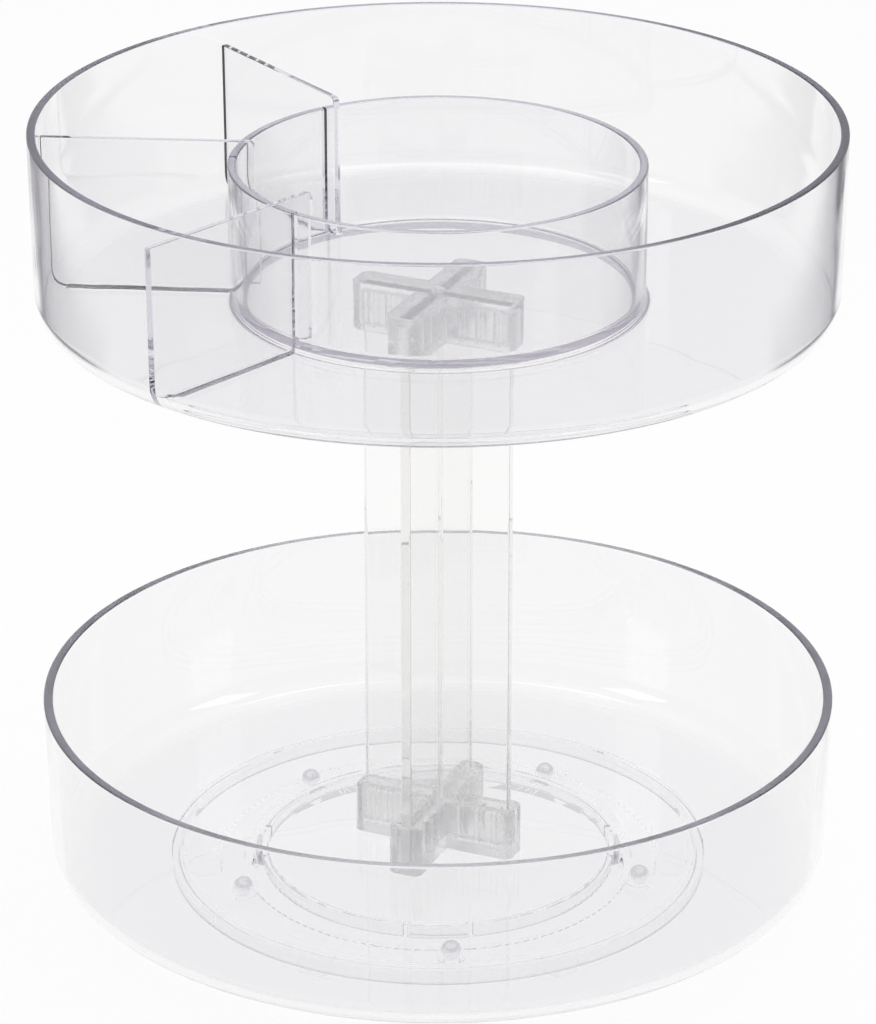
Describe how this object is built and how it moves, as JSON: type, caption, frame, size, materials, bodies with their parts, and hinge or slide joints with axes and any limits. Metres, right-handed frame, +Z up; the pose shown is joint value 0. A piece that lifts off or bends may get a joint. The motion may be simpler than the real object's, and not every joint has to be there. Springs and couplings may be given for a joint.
{
  "type": "two-tier turntable organizer",
  "caption": "Clear two-tier rotating makeup organizer: round open trays on a cross-shaped column, ring and dividers above, ball-bearing base below.",
  "frame": {"origin": "on the table under the middle of the turntable, on the turning axis", "axes": "+Z up along the turning axis, +X to the right and +Y away in the picture's view; the dividers lie towards -X"},
  "size_m": [0.2304, 0.2304, 0.2351],
  "materials": {
    "clear_tray": "clear, polished, faintly violet-grey",
    "clear_column": "clear, polished, faintly warm",
    "milky_socket": "translucent, slightly milky",
    "clear_base": "clear, polished",
    "clear_cage": "clear, polished",
    "ball_steel": "polished steel",
    "soft_foot": "translucent soft pad"
  },
  "bodies": {
    "base": {"base_ring": "clear_base", "foot_1": "soft_foot", "foot_2": "soft_foot", "foot_3": "soft_foot", "foot_4": "soft_foot", "foot_5": "soft_foot", "foot_6": "soft_foot"},
    "cage": {"ball_cage": "clear_cage"},
    "carousel": {"lower_tray": "clear_tray", "lower_socket": "milky_socket", "column": "clear_column", "upper_socket": "milky_socket", "upper_tray": "clear_tray"},
    "ball_1": {"steel_ball_1": "ball_steel"},
    "ball_2": {"steel_ball_2": "ball_steel"},
    "ball_3": {"steel_ball_3": "ball_steel"},
    "ball_4": {"steel_ball_4": "ball_steel"},
    "ball_5": {"steel_ball_5": "ball_steel"}
  },
  "joints": [
    {"name": "tray_spin", "type": "hinge", "parent": "base", "child": "carousel", "pos_m": [0, 0, 0], "axis": [0, 0, 1], "continuous": true},
    {"name": "cage_spin", "type": "hinge", "parent": "base", "child": "cage", "pos_m": [0, 0, 0], "axis": [0, 0, 1], "continuous": true},
    {"name": "ball_1_roll", "type": "hinge", "parent": "cage", "child": "ball_1", "pos_m": [0.05925, -0.01532, 0.00625], "axis": [0.9681, -0.2504, 0], "continuous": true},
    {"name": "ball_2_roll", "type": "hinge", "parent": "cage", "child": "ball_2", "pos_m": [0.03288, 0.05162, 0.00625], "axis": [0.5373, 0.8434, 0], "continuous": true},
    {"name": "ball_3_roll", "type": "hinge", "parent": "cage", "child": "ball_3", "pos_m": [-0.03893, 0.04722, 0.00625], "axis": [-0.6361, 0.7716, 0], "continuous": true},
    {"name": "ball_4_roll", "type": "hinge", "parent": "cage", "child": "ball_4", "pos_m": [-0.05694, -0.02243, 0.00625], "axis": [-0.9304, -0.3665, 0], "continuous": true},
    {"name": "ball_5_roll", "type": "hinge", "parent": "cage", "child": "ball_5", "pos_m": [0.00374, -0.06109, 0.00625], "axis": [0.061, -0.9981, 0], "continuous": true}
  ],
  "couplings": [
    {"joint": "cage_spin", "follows": "tray_spin", "ratio": 0.5},
    {"joint": "ball_1_roll", "follows": "tray_spin", "ratio": -10.2},
    {"joint": "ball_2_roll", "follows": "tray_spin", "ratio": -10.2},
    {"joint": "ball_3_roll", "follows": "tray_spin", "ratio": -10.2},
    {"joint": "ball_4_roll", "follows": "tray_spin", "ratio": -10.2},
    {"joint": "ball_5_roll", "follows": "tray_spin", "ratio": -10.2}
  ]
}
